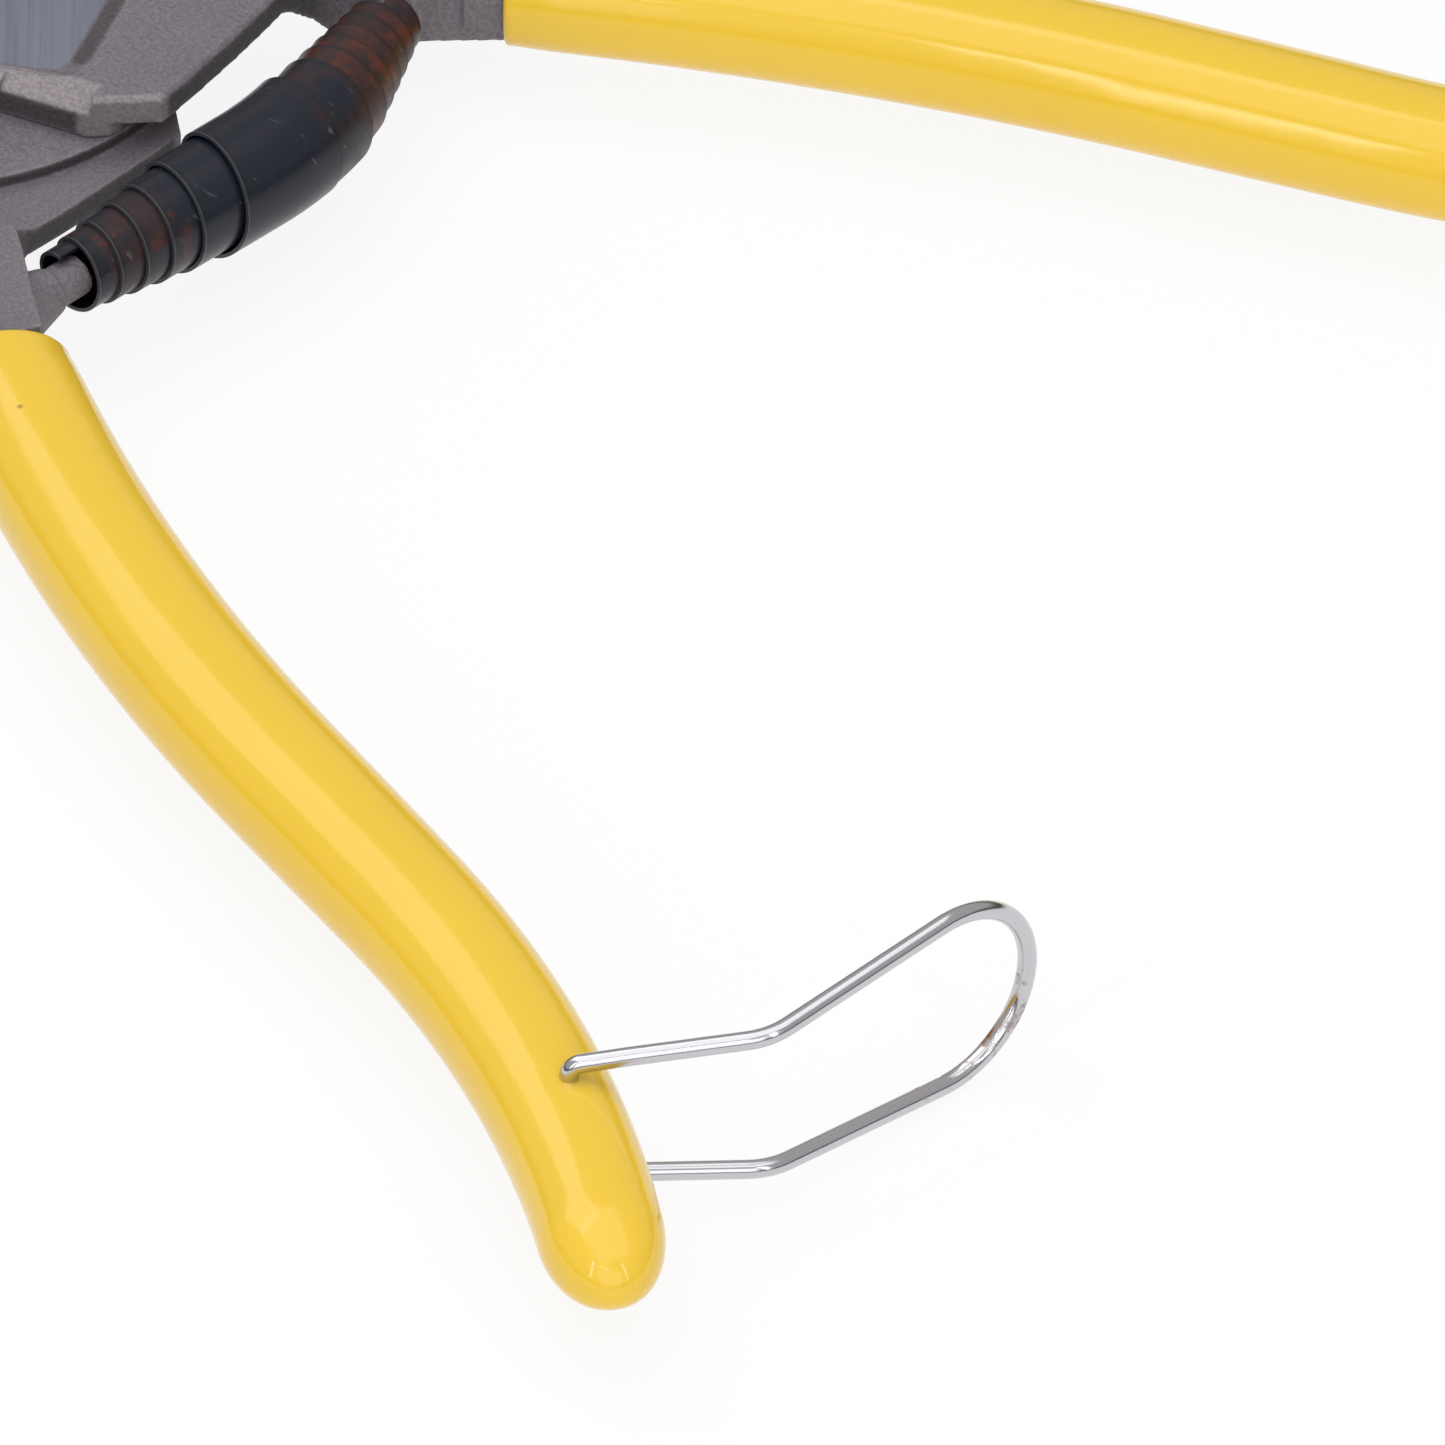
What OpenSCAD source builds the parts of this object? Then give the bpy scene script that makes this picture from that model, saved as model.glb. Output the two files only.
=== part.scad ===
// Sprung clamping pliers: two forged halves lapped on a pivot bolt, opened by a double
// volute spring and held shut by a wire catch. The pivot axis is Z, the jaws point to +X
// and the flat under the bolt head is at Z = 0. Each half is drawn as it lies when the
// jaws are shut, with the lap plane at Z = 0, and is then swung open.

/* [Pivot] */
// Diameter of the pivot bolt
bolt_d = 8; // [6:0.5:9]
// Diameter of the round bolt head and of the washer
bolt_head_d = 14; // [12:0.5:15]
// Height of the bolt head
bolt_head_h = 3; // [2:0.25:4]
// Width across the flats of the nut
nut_flats = 12; // [11:0.5:13]
// Height of the nut
nut_h = 5; // [4:0.5:6]
// Thickness of the thrust washer
washer_t = 1; // [0.6:0.1:2]
// Radius of the round lap about the pivot
lap_r = 17; // [15:0.5:17.5]
// Angle between the jaws with the spring at rest
open_angle = 54; // [40:1:54]

/* [Forged halves] */
// Thickness of a half where both its sides are as forged
forged_t = 9; // [8:0.5:11]
// Depth of the ground flat on the outer side of each head
ground_depth = 0.8; // [0.4:0.1:1.2]
// Width of the slope around the ground flat
ground_slope = 2.2; // [0.8:0.1:2.6]
// Width of the chamfer along the leading rim of the tail
rim_chamfer = 2.7; // [1.5:0.1:3]
// Width of the broken edge along the rest of the rim
rim_break = 0.5; // [0.2:0.05:0.9]
// Radius of the raised rubbing face around the pivot
rub_r = 28.3; // [27:0.1:31]
// Step from the rubbing face down to the relieved tail
relief_h = 1.5; // [1:0.1:2.5]
// Radius about the pivot at which the tail starts to swell to the full thickness
shank_r = 34.8; // [34:0.2:37]
// Length over which it swells
shank_ramp = 5.7; // [3:0.1:7]

/* [Jaws] */
// Distance from the pivot to the tip of the jaws
jaw_reach = 53; // [48:0.5:60]
// Width of a jaw at its tip
jaw_tip_w = 7; // [5:0.5:9]
// Distance from the pivot to the first tooth
teeth_start = 27; // [24:0.5:34]
// Pitch of the teeth
tooth_pitch = 1.6; // [1.2:0.1:2.4]
// Depth of the grooves between the teeth
tooth_depth = 0.7; // [0.4:0.1:1]
// Gap between the shut jaws
jaw_gap = 0.3; // [0.2:0.05:0.6]

/* [Handles] */
// Distance from the pivot to where the handle's centreline starts
handle_from = 48; // [46:0.5:50]
// Length of the straight neck of a handle
neck_len = 14; // [12:0.5:18]
// Length of the bend towards the other handle
bend_len = 56; // [50:0.5:60]
// Length of the straight stretch between the bend and the sweep
waist_len = 20.7; // [18:0.1:24]
// Length of the outward sweep
sweep_len = 52; // [46:0.5:56]
// Bend of the lower handle towards the other one, in degrees
lower_bend = 14; // [11:0.5:15]
// Bend of the upper handle towards the other one, in degrees
upper_bend = 10.6; // [9:0.2:11.6]
// Outward sweep of the handle ends, in degrees
end_sweep = 22; // [18:1:26]
// Length of the grips along the handle
grip_len = 145.8; // [140:0.2:150]
// Greatest width of a grip
grip_w = 13.9; // [12.8:0.1:14.2]
// Ratio of a grip's thickness to its width
grip_ratio = 0.86; // [0.76:0.02:0.88]
// Thickness of the vinyl
vinyl_t = 1.5; // [1:0.1:2]

/* [Return spring] */
// Outer diameter of the spring at its middle
spring_mid_d = 11.8; // [10.5:0.1:12.4]
// Outer diameter of the spring at its ends
spring_end_d = 6.2; // [6:0.1:7]
// Thickness of the spring strip
strip_t = 0.5; // [0.3:0.05:0.6]
// Straight stretch of the spring from the lower peg to its bend
spring_run = 24; // [20:0.5:28]
// Length of the bend of the spring
spring_bend_len = 14; // [10:0.5:20]
// Angle of the bend of the spring
spring_bend = 22.5; // [10:0.5:30]
// Length of the forged pegs that hold the spring
peg_len = 5; // [4.4:0.1:5.4]
// Diameter of the pegs at their ends
peg_d = 4; // [3.4:0.1:4.4]

/* [Wire catch] */
// Diameter of the catch wire
wire_d = 1.8; // [1.4:0.1:2.2]
// Distance between the legs at the handle
catch_root_w = 13; // [12.8:0.1:14]
// Distance between the legs at their bend
catch_bend_w = 15.7; // [14.5:0.1:17]
// Distance between the legs at the round end
catch_end_w = 20; // [18:0.5:22]
// Length of the legs from the handle to their bend
catch_leg_a = 18.9; // [16:0.1:22]
// Length of the legs from their bend to the round end
catch_leg_b = 22; // [18:0.1:24]

/* [Hidden] */
$fn = 64;

eps = 0.01;
steel = "#8a8784";
vinyl = "#f2cf3e";
half_t = forged_t / 2;
ground_t = half_t - ground_depth;   // from the lap plane to the ground flat
lap_z = bolt_head_h + ground_t;     // height of the lap plane
lap_gap = 0.1;                      // play between the two rubbing faces
run_gap = 0.05;                     // radial play of what turns on a pin
jaw_r = lap_r + 0.5;                // the jaws clear the other half's round lap
tail_run = 3;                       // how far the drawn shank runs into the tang
end_run = 20;                       // straight stretch at the end of a handle
swing = open_angle / 2;

// Outline of the tail and shank, shut: the back of the handle, the chamfered rim of the
// tail and the front of the handle
handle_back = [[-54.5, 19.8], [-46, 20.3], [-36, 20.4], [-23, 18.6], [-11, 12.8], [0, 0]];
tail_rim = [
    [-6, -15.4], [-12.2, -15.5], [-20.6, -17.4], [-27.4, -15.5], [-29.2, -11.8],
    [-31.9, -5.4], [-33.8, -0.5], [-35.2, 3.4], [-37.2, 5.6]
];
handle_front = [[-39.8, 6.7], [-43, 7.3], [-48.6, 8.8], [-54.5, 10.2]];
tail_plan = concat(handle_back, tail_rim, handle_front);

// ---- Handle centreline: a run, a bend inwards, a run and a sweep outwards ----
function handle_legs(bend) = [
    [neck_len, 0], [bend_len, bend], [waist_len, 0], [sweep_len, -end_sweep], [end_run, 0]
];
lower_path = [[-handle_from, 13.8, 174.4], handle_legs(lower_bend)];
upper_path = [[-handle_from, 13.5, 177.8], handle_legs(upper_bend)];

// Point and heading after a distance d along one run or bend, from the pose p
function along(p, len, turn, d) =
    turn == 0 ? [p[0] + d * cos(p[2]), p[1] + d * sin(p[2]), p[2]] :
    let (r = len * 180 / (turn * PI), h = p[2] + turn * d / len)
    [p[0] + r * (sin(h) - sin(p[2])), p[1] - r * (cos(h) - cos(p[2])), h];

// Point and heading at a distance s along a path, from its leg number k on
function pose_at(p, legs, s, k = 0) =
    s <= legs[k][0] || k == len(legs) - 1 ? along(p, legs[k][0], legs[k][1], s) :
    pose_at(along(p, legs[k][0], legs[k][1], legs[k][0]), legs, s - legs[k][0], k + 1);

grip_from = 5.5;                     // where the grip's mouth lies along the path
grip_to = grip_from + grip_len;
dome = 9;                            // length over which the grip's end rounds off
tang_to = grip_to - dome;            // the tang ends inside the grip's closed end
lip = 1.6;                           // length over which the grip's mouth rounds off
pin_s = grip_to - 25.5;              // where the catch pin crosses the lower handle
pin_inset = 1.1;                     // from the centreline towards the other handle
grip_sides = 20;                     // points around a grip and around the tang in it

// Half width of a grip at a share u of its length, without its rounded ends
function grip_half(u) = grip_w / 2 * (0.95 + 0.23 * u - 0.36 * u * u);
// Share of the full size left by the rounded ends
function end_share(s) =
    s > grip_to - dome ? sqrt(max(0, 1 - pow((s - grip_to + dome) / dome, 2))) :
    s < grip_from + lip ? 1 - 0.09 * pow((grip_from + lip - s) / lip, 2) : 1;
function half_w(s) = grip_half((s - grip_from) / grip_len);

// A closed section at s, of half width a and half thickness b, with n points
function section(path, s, a, b, n, square) =
    let (p = pose_at(path[0], path[1], s))
    [for (i = [0:n - 1])
        let (t = 360 * (i + 0.5) / n, c = cos(t), q = sin(t),
             u = a * sign(c) * pow(abs(c), square), v = b * sign(q) * pow(abs(q), square))
        [p[0] - u * sin(p[2]), p[1] + u * cos(p[2]), v]];

// Solid through a list of sections that have the same number of points
module loft(rings) {
    n = len(rings[0]);
    m = len(rings);
    polyhedron(
        points = [for (r = rings) each r],
        faces = [
            [for (i = [0:n - 1]) i],
            [for (i = [n - 1:-1:0]) (m - 1) * n + i],
            for (k = [0:m - 2], i = [0:n - 1]) let (j = (i + 1) % n) each [
                [k * n + j, k * n + i, (k + 1) * n + i],
                [k * n + j, (k + 1) * n + i, (k + 1) * n + j]
            ]
        ]);
}

function tang_section(path, s) =
    section(path, s, half_w(max(s, grip_from)) - vinyl_t,
        half_w(max(s, grip_from)) * grip_ratio - vinyl_t, grip_sides, 0.7);
function grip_section(path, s) =
    section(path, s, half_w(s) * end_share(s), half_w(s) * grip_ratio * end_share(s),
        grip_sides, 0.92);

// Distances along the grip at which its sections lie: close together at both ends
grip_rings = [
    for (k = [0:2]) grip_from + lip * k / 3,
    for (k = [0:18]) grip_from + lip + (grip_len - lip - dome) * k / 18,
    for (k = [1:7]) grip_to - dome + dome * sin(90 * k / 7.35)
];
tang_rings = [for (k = [0:16]) grip_from + (tang_to - grip_from) * k / 16];

module tang(path) {
    loft([tang_section(path, grip_from - tail_run), for (s = tang_rings) tang_section(path, s)]);
}

// ---- One half, as it lies with the jaws shut ----
module jaw_plan() {
    back = lap_r + 1;
    teeth = floor((jaw_reach - 1 - teeth_start) / tooth_pitch);
    face = -jaw_gap / 2;
    polygon([
        [0, face], [teeth_start, face],
        for (k = [0:teeth - 1]) each [
            [teeth_start + k * tooth_pitch, face],
            [teeth_start + (k + 0.5) * tooth_pitch, face - tooth_depth]
        ],
        [teeth_start + teeth * tooth_pitch, face], [jaw_reach, face],
        [jaw_reach, -jaw_tip_w + 2], [jaw_reach - 2, -jaw_tip_w],
        [0.72 * jaw_reach, -0.78 * back], [0.5 * jaw_reach, -0.98 * back],
        [0.32 * jaw_reach, -1.03 * back], [0.14 * jaw_reach, -back], [0, -lap_r + 2]
    ]);
}

// The flat ground on the outer side of the head, with a sloping border
module ground_flat() {
    far = jaw_reach + 10;
    function edge(grow) = [
        [-18.9 - grow, 30], [-18.9 - grow, -2], [-17.6 - grow, -11.2],
        [-16.9 - grow * 0.8, -12.7 - grow * 0.6], [-15.6, -12.9 - grow],
        [-8, -12.9 - grow], [-3, -lap_r - 2 - grow], [far, -lap_r - 2 - grow], [far, 30]
    ];
    function lift(plan, z) = [for (p = plan) [p[0], p[1], z]];
    loft([lift(edge(ground_slope * 1.5), -half_t - ground_depth / 2), lift(edge(0), -ground_t)]);
}

// Peg on the inner side of the shank, at seat = [x, y, heading], with a swelling at its foot
module peg(seat) {
    translate([seat[0], seat[1], 0]) rotate([0, 0, seat[2]]) rotate([0, 90, 0]) {
        cylinder(h = peg_len, d = peg_d);
        translate([0, 0, -3]) cylinder(h = 4.4, d1 = peg_d + 3, d2 = peg_d + 0.6);
    }
}

// Chamfer along the rim of the tail, on the outer side of the half: wide on the leading
// rim and deeper towards its corner, then a plain broken edge
module rim_cut() {
    for (k = [0:len(tail_rim) - 2]) {
        along_edge = tail_rim[k + 1] - tail_rim[k];
        wide = k < 2 ? rim_chamfer : rim_break;
        deep = k == 0 ? 0.4 * rim_chamfer : k == 1 ? 0.66 * rim_chamfer : rim_break;
        translate([tail_rim[k][0], tail_rim[k][1], -half_t])
            rotate([0, 0, atan2(along_edge[1], along_edge[0]) + 90]) rotate([90, 0, 0])
                translate([0, 0, -0.3]) linear_extrude(norm(along_edge) + 0.6)
                    polygon([[-2 * wide, -deep], [wide, 2 * deep], [wide, -deep]]);
    }
}

module half(path, seat) {
    difference() {
        union() {
            translate([0, 0, -half_t]) linear_extrude(half_t - relief_h) {
                polygon(tail_plan);
                circle(lap_r);
            }
            translate([0, 0, -relief_h - eps]) linear_extrude(relief_h + eps - lap_gap / 2)
                intersection() {
                    union() {
                        polygon(tail_plan);
                        circle(lap_r);
                    }
                    circle(rub_r);
                }
            translate([0, 0, -relief_h - eps]) difference() {
                linear_extrude(half_t + relief_h + eps) polygon(tail_plan);
                translate([0, 0, -eps]) cylinder(h = 1.1 * (half_t + relief_h),
                    r1 = shank_r, r2 = shank_r + 1.1 * shank_ramp);
            }
            translate([0, 0, -ground_t]) linear_extrude(ground_t - lap_gap / 2)
                jaw_plan();
            translate([0, 0, -ground_t]) linear_extrude(2 * ground_t) difference() {
                jaw_plan();
                circle(jaw_r);
            }
            tang(path);
            peg(seat);
        }
        ground_flat();
        rim_cut();
        translate([0, 0, -half_t - 1]) cylinder(h = forged_t + 2, d = bolt_d + 2 * run_gap);
    }
}

// The grip is one skin: out of its deep end along the tang, over the lip and round the tip
module grip(path) {
    loft(concat(
        [for (k = [len(tang_rings) - 1:-1:0]) tang_section(path, tang_rings[k])],
        [for (s = grip_rings) grip_section(path, s)]));
}

module lower_place() {
    translate([0, 0, lap_z]) rotate([0, 0, -swing]) children();
}

module upper_place() {
    translate([0, 0, lap_z]) rotate([0, 0, swing]) rotate([180, 0, 0]) children();
}

// Hole across the lower handle for the ends of the catch wire
pin_pose = pose_at(lower_path[0], lower_path[1], pin_s);
pin = [
    pin_pose[0] - pin_inset * sin(pin_pose[2]), pin_pose[1] + pin_inset * cos(pin_pose[2])
];
module catch_hole() {
    translate([pin[0], pin[1], -10]) cylinder(h = 20, d = wire_d + 2 * run_gap);
}

module lower_jaw_half() {
    color(steel) lower_place() difference() {
        half(lower_path, lower_seat);
        catch_hole();
    }
}

module upper_jaw_half() {
    color(steel) upper_place() half(upper_path, upper_seat);
}

module lower_grip() {
    color(vinyl) lower_place() difference() {
        grip(lower_path);
        catch_hole();
    }
}

module upper_grip() {
    color(vinyl) upper_place() grip(upper_path);
}

// ---- Pivot ----
washer_z = lap_z + ground_t + lap_gap;
nut_z = washer_z + washer_t;

module pivot_bolt() {
    color("#6f6d6b") {
        cylinder(h = bolt_head_h, d = bolt_head_d);
        cylinder(h = nut_z + nut_h + 1, d = bolt_d);
    }
}

module pivot_washer() {
    color("#a9a7a4") translate([0, 0, washer_z]) difference() {
        cylinder(h = washer_t, d = bolt_head_d);
        translate([0, 0, -1]) cylinder(h = washer_t + 2, d = bolt_d + 2 * run_gap);
    }
}

module pivot_nut() {
    color("#8f8d8b") translate([0, 0, nut_z]) difference() {
        cylinder(h = nut_h, d = nut_flats / cos(30), $fn = 6);
        translate([0, 0, -1]) cylinder(h = nut_h + 2, d = bolt_d);
    }
}

// ---- Return spring: one strip wound as a double cone on an axis with a bend ----
// Step along the axis from one turn's edge to the next, from the lower peg to the upper
turn_steps = [2.4, 2.6, 3, 2.9, 3.6, 5.2, 11.7, 4.6, 3, 2.4, 2.2, 2.2, 2.2, 2.2];
wide_turn = 6;                       // number of the turn in the middle of the spring
turn_gap = 0.5;                      // free space between one turn's edge and the next
per_turn = 18;                       // sections in one turn
turns = len(turn_steps) - 1;
spring_from = [-38, 24.2, -97.5];    // point and heading of the axis at the lower peg
peg_back = 2.6;                      // from a peg's foot to the nearest end of the spring

// Distance along the axis of the strip's leading edge after t turns
function edge_at(t, k = 0, sum = 0) =
    t <= 1 || k == len(turn_steps) - 1 ? sum + t * turn_steps[k] :
    edge_at(t - 1, k + 1, sum + turn_steps[k]);

spring_len = edge_at(len(turn_steps));
cone_a = edge_at(wide_turn);
cone_b = spring_len - edge_at(wide_turn + 1);
spring_legs = [[spring_run, 0], [spring_bend_len, spring_bend], [spring_len, 0]];

// Feet of the pegs, in the shut frame of each half, in line with the ends of the spring
lower_foot = pose_at(spring_from, spring_legs, -peg_back);
upper_foot = pose_at(spring_from, spring_legs, spring_len + peg_back);
lower_seat = [
    lower_foot[0] * cos(swing) - lower_foot[1] * sin(swing),
    lower_foot[0] * sin(swing) + lower_foot[1] * cos(swing), lower_foot[2] + swing
];
upper_seat = [
    upper_foot[0] * cos(swing) + upper_foot[1] * sin(swing),
    upper_foot[0] * sin(swing) - upper_foot[1] * cos(swing), swing - 180 - upper_foot[2]
];

// Outer radius of the spring at a distance s along its axis
function spring_r(s) =
    (spring_end_d + (spring_mid_d - spring_end_d) *
        min(1, s / cone_a, (spring_len - s) / cone_b)) / 2;

// Point at a distance s along the axis, r from it, at the angle a around it
function on_spring(s, r, a) =
    let (p = pose_at(spring_from, spring_legs, s))
    [p[0] + r * cos(a) * sin(p[2]), p[1] - r * cos(a) * cos(p[2]), lap_z + r * sin(a)];

function strip_section(t) =
    let (from = edge_at(t), to = edge_at(t + 1) - turn_gap, r = spring_r((from + to) / 2),
         a = 360 * t + 90)
    [on_spring(from, r, a), on_spring(to, r, a),
     on_spring(to, r - strip_t, a), on_spring(from, r - strip_t, a)];

strip = [for (i = [0:turns * per_turn]) strip_section(i / per_turn)];
least_gap = min([
    for (i = [0:(turns - 1) * per_turn], j = [-2:2])
        if (i + per_turn + j <= turns * per_turn)
            let (next = strip[i + per_turn + j])
            min([for (p = [strip[i][1], strip[i][2]], q = [next[0], next[3]]) norm(p - q)])
]);
echo(spring_least_gap_mm = least_gap);

module return_spring() {
    color("#26272c") loft(strip);
}

// ---- Wire catch: two legs with a bend and a round end, hooked into the handle ----
catch_dir_a = 253;                   // heading of the first stretch of the legs
catch_dir_b = 287.5;                 // heading of the second stretch
catch_ends_gap = 2;                  // space between the two wire ends inside the handle

catch_elbow = 1.2;                   // radius of the elbow where a leg leaves the handle
catch_kink = 1.2;                    // half the length over which the legs bend
flare_a = atan((catch_bend_w - catch_root_w) / 2 / catch_leg_a);
flare_b = atan((catch_end_w - catch_bend_w) / 2 / catch_leg_b);

// Stations of the wire, each [distance, height, pitch, heading, bend passed or not], from
// the upper elbow to the round end. The distance is counted from the pin or the bend.
function elbow_station(pitch) = [
    catch_elbow * (1 - sin(pitch)), catch_root_w / 2 - catch_elbow * (1 - cos(pitch)),
    pitch, catch_dir_a, 0
];
leg_stations = [
    for (k = [0:5]) elbow_station(90 - (90 - flare_a) * k / 5),
    [catch_leg_a - catch_kink, catch_bend_w / 2 - catch_kink * sin(flare_a), flare_a,
        catch_dir_a, 0],
    [0, catch_bend_w / 2, flare_a, (catch_dir_a + catch_dir_b) / 2, 1],
    [catch_kink, catch_bend_w / 2 + catch_kink * sin(flare_b), flare_b, catch_dir_b, 1]
];
end_stations = [
    for (k = [0:16])
        let (pitch = -180 * k / 16)
        [catch_leg_b - catch_end_w / 2 * sin(pitch), catch_end_w / 2 * cos(pitch), pitch,
            catch_dir_b, 1]
];
back_stations = [
    for (k = [len(leg_stations) - 1:-1:0])
        let (q = leg_stations[k]) [q[0], -q[1], -180 - q[2], q[3], q[4]]
];

function go(p, heading, len) = [p[0] + len * cos(heading), p[1] + len * sin(heading)];
function wire_section(q, r, n) =
    let (from = q[4] == 0 ? pin : go(pin, catch_dir_a, catch_leg_a),
         c = go(from, q[4] == 0 ? catch_dir_a : catch_dir_b, q[0]), h = q[3], b = q[2])
    [for (i = [0:n - 1])
        let (u = r * cos(360 * i / n), v = r * sin(360 * i / n))
        [c[0] - u * sin(h) - v * sin(b) * cos(h), c[1] + u * cos(h) - v * sin(b) * sin(h),
            q[1] + v * cos(b)]];

module wire_catch() {
    seat = catch_root_w / 2 - catch_elbow;
    color("#c9cbd0") lower_place() {
        loft([for (q = concat(leg_stations, end_stations, back_stations))
            wire_section(q, 0.99 * wire_d / 2, 12)]);
        for (side = [0, 1]) mirror([0, 0, side])
            translate([pin[0], pin[1], catch_ends_gap / 2])
                cylinder(h = seat - catch_ends_gap / 2, d = wire_d);
    }
}

lower_jaw_half();
upper_jaw_half();
lower_grip();
upper_grip();
pivot_bolt();
pivot_washer();
pivot_nut();
return_spring();
wire_catch();
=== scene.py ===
import math

import bmesh
import bpy
import numpy as np
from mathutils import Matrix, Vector


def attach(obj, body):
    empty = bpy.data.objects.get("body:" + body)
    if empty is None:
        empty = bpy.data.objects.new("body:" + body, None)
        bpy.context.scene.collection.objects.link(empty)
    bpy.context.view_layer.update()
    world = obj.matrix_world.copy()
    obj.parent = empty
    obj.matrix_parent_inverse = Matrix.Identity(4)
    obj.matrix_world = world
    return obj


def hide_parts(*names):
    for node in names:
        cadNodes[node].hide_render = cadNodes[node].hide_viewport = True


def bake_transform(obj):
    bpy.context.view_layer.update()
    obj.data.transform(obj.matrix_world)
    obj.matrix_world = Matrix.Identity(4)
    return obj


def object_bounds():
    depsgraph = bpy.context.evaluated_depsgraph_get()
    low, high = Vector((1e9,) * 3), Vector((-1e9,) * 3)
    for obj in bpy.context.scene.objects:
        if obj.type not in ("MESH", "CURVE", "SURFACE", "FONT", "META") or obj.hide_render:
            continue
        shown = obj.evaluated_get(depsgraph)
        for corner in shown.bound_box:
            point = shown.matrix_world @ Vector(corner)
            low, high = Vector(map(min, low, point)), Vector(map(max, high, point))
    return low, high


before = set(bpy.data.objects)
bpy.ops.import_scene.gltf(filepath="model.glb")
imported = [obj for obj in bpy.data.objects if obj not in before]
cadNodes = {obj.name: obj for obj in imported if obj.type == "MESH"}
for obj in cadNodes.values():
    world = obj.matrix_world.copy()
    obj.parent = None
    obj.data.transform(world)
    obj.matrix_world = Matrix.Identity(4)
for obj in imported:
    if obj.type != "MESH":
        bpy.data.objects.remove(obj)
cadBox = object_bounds()
mm = 0.001
scene = bpy.context.scene
scene.view_settings.view_transform = "Standard"
print("stage: frame loaded")

# small helpers for nodes


def feed(tree, socket, value):
    # a number, a colour or another node's output, put into a socket
    if isinstance(value, bpy.types.NodeSocket):
        tree.links.new(value, socket)
    elif socket.type == "RGBA":
        socket.default_value = (*value, 1)
    else:
        socket.default_value = value


def addNode(tree, kind, **values):
    node = tree.nodes.new(kind)
    for key, value in values.items():
        setattr(node, key, value)
    return node


def rampNode(tree, value, stops):
    node = addNode(tree, "ShaderNodeValToRGB")
    elements = node.color_ramp.elements
    while len(elements) < len(stops):
        elements.new(0.5)
    for element, (place, grey) in zip(elements, stops):
        element.position = place
        element.color = (grey, grey, grey, 1)
    feed(tree, node.inputs[0], value)
    return node.outputs[0]


def mathNode(tree, operation, a, b=None, c=None, clamp=False):
    node = addNode(tree, "ShaderNodeMath", operation=operation, use_clamp=clamp)
    for socket, value in zip(node.inputs, (a, b, c)):
        if value is not None:
            feed(tree, socket, value)
    return node.outputs[0]


def mixColour(tree, factor, a, b, blendType="MIX"):
    node = addNode(tree, "ShaderNodeMix", data_type="RGBA", blend_type=blendType)
    # sockets 6 and 7 and output 2 are this node's colours
    for k, value in ((0, factor), (6, a), (7, b)):
        feed(tree, node.inputs[k], value)
    return node.outputs[2]


def noiseNode(tree, position, scale, detail=2.0, roughness=0.5):
    node = addNode(tree, "ShaderNodeTexNoise")
    values = {"Vector": position, "Scale": scale, "Detail": detail, "Roughness": roughness}
    for label, value in values.items():
        feed(tree, node.inputs[label], value)
    return node.outputs["Fac"]


def rangeNode(tree, value, given, wanted):
    # a value between the two numbers of given, carried over to the two of wanted
    node = addNode(tree, "ShaderNodeMapRange")
    labels = ("Value", "From Min", "From Max", "To Min", "To Max")
    for label, number in zip(labels, (value, *given, *wanted)):
        feed(tree, node.inputs[label], number)
    return node.outputs[0]


def splitAxes(tree, position):
    node = addNode(tree, "ShaderNodeSeparateXYZ")
    feed(tree, node.inputs[0], position)
    return node.outputs


def distanceTo(tree, position, place):
    node = addNode(tree, "ShaderNodeVectorMath", operation="DISTANCE")
    feed(tree, node.inputs[0], position)
    node.inputs[1].default_value = place
    return node.outputs["Value"]


def mapped(tree, position, turn, scale):
    # turned by turn, then as many waves a metre along each axis as scale says
    node = addNode(tree, "ShaderNodeMapping", vector_type="TEXTURE")
    node.inputs["Rotation"].default_value = (0, 0, math.radians(turn))
    node.inputs["Scale"].default_value = [1 / x for x in scale]
    feed(tree, node.inputs["Vector"], position)
    return node.outputs[0]


# camera
cameraValues = {
    "target": (-125.42, 34.10, 6.50),  # point at the middle of the picture, mm
    "back": (-0.4849, 0.5939, 0.6420),  # from the target to the camera
    "distance": 6000.0,
    "fieldWidth": 132.9,  # width of the picture at the target, mm
    "sensor": 36.0,
    "clipEnd": 60.0,  # metres
}


def addCamera(values):
    data = bpy.data.cameras.new("camera")
    data.sensor_width = values["sensor"]
    data.lens = values["sensor"] * values["distance"] / values["fieldWidth"]
    data.clip_end = values["clipEnd"]
    camera = bpy.data.objects.new("camera", data)
    scene.collection.objects.link(camera)
    back = Vector(values["back"]).normalized()
    camera.location = Vector(values["target"]) * mm + back * values["distance"] * mm
    camera.rotation_euler = back.to_track_quat("Z", "Y").to_euler()
    scene.camera = camera


addCamera(cameraValues)

# light
lightValues = {
    "target": (-0.10, 0.03, 0.0),
    # brightness of the sky by its height, from the horizon to straight up
    "sky": [(0.0, 0.10), (0.15, 0.16), (0.27, 0.84), (1.0, 0.84)],
    "skyStrength": 0.62,
    # name: place in metres, size in metres, power in watts
    "lamps": {
        "overheadSoftbox": ((-0.15, 0.05, 1.25), (1.3, 1.3), 5.4),
        "backSoftbox": ((0.54, -0.04, 0.90), (0.7, 0.7), 2.2),
        "frontSoftbox": ((-0.85, 0.85, 0.55), (1.1, 0.8), 3.4),
        "leftStrip": ((-0.11, 0.98, 0.60), (0.05, 0.8), 1.0),
        "rightStrip": ((-1.06, 0.20, 0.60), (0.05, 0.8), 1.0),
        "longStrip": ((-0.55, 0.78, 1.00), (0.60, 0.05), 0.5),
    },
}


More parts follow.
